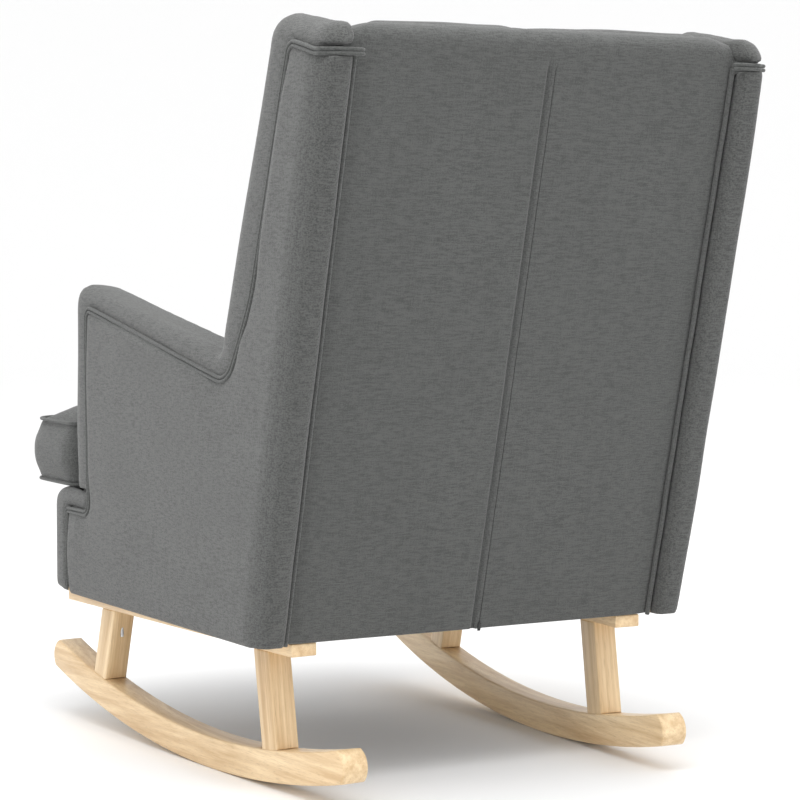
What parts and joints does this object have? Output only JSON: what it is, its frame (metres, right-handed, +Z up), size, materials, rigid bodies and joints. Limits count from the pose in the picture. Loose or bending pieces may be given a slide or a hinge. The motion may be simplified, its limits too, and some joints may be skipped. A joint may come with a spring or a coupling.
{
  "type": "rocking chair",
  "caption": "Upholstered wing armchair with a high reclined back and a loose T-shaped seat cushion, on curved wooden rockers with splayed legs.",
  "frame": {"origin": "on the floor under the middle of the chair's bounding box", "axes": "+Z up, +X towards the sitter's left side, the sitter faces -Y, so +Y is the rear"},
  "size_m": [0.703, 1.0219, 1.0407],
  "materials": {
    "natural_wood": "clear satin lacquer, straight grain",
    "frame_wood": "sawn softwood",
    "plywood": "sanded plywood",
    "zinc_steel": "zinc plated",
    "webbing": "elastic upholstery webbing",
    "foam": "cut polyurethane foam",
    "dust_cloth": "black non-woven cloth",
    "grey_cloth": "fine linen-look weave over padding",
    "piping_cloth": "the same cloth over cord",
    "zip_tape": "zip tape and coil",
    "zip_metal": "dark grey lacquer"
  },
  "bodies": {
    "chair": {"rocker_left": "natural_wood", "rocker_right": "natural_wood", "front_leg_left": "natural_wood", "front_leg_right": "natural_wood", "rear_leg_left": "natural_wood", "rear_leg_right": "natural_wood", "leg_rail_left": "natural_wood", "leg_rail_right": "natural_wood", "rocker_dowels": "natural_wood", "leg_screws": "zinc_steel", "frame_bolts": "zinc_steel", "bolt_washers": "zinc_steel", "tee_nuts": "zinc_steel", "mount_blocks": "frame_wood", "seat_front_board": "frame_wood", "seat_rear_board": "frame_wood", "seat_side_rail_left": "frame_wood", "seat_side_rail_right": "frame_wood", "seat_cross_webbing": "webbing", "seat_long_webbing": "webbing", "deck_pad": "foam", "dust_cover": "dust_cloth", "side_board_left": "plywood", "side_board_right": "plywood", "side_cover_left": "grey_cloth", "side_cover_right": "grey_cloth", "arm_pad_left": "grey_cloth", "arm_pad_right": "grey_cloth", "rear_edge_pad_left": "grey_cloth", "rear_edge_pad_right": "grey_cloth", "side_piping_left": "piping_cloth", "side_piping_right": "piping_cloth", "back_post_left": "frame_wood", "back_post_right": "frame_wood", "back_top_rail": "frame_wood", "back_lower_rail": "frame_wood", "back_webbing": "webbing", "back_pad": "grey_cloth", "back_cover": "grey_cloth", "back_zip_tape": "zip_tape", "front_pad": "grey_cloth"},
    "seat_cushion": {"cushion_cover": "grey_cloth", "cushion_core": "foam", "cushion_piping": "piping_cloth", "cushion_zip_tape": "zip_tape"},
    "zip_slider": {"back_zip_slider": "zip_metal"},
    "cushion_slider": {"cushion_zip_slider": "zip_metal"}
  },
  "joints": [
    {"name": "cushion_lift", "type": "slide", "parent": "chair", "child": "seat_cushion", "axis": [0, 0, 1], "range_m": [0, 0.25]},
    {"name": "back_zip_slide", "type": "slide", "parent": "chair", "child": "zip_slider", "axis": [0, 0.2419, 0.9703], "range_m": [0, 0.77]},
    {"name": "cushion_zip_slide", "type": "slide", "parent": "seat_cushion", "child": "cushion_slider", "axis": [1, 0, 0], "range_m": [0, 0.36]}
  ]
}
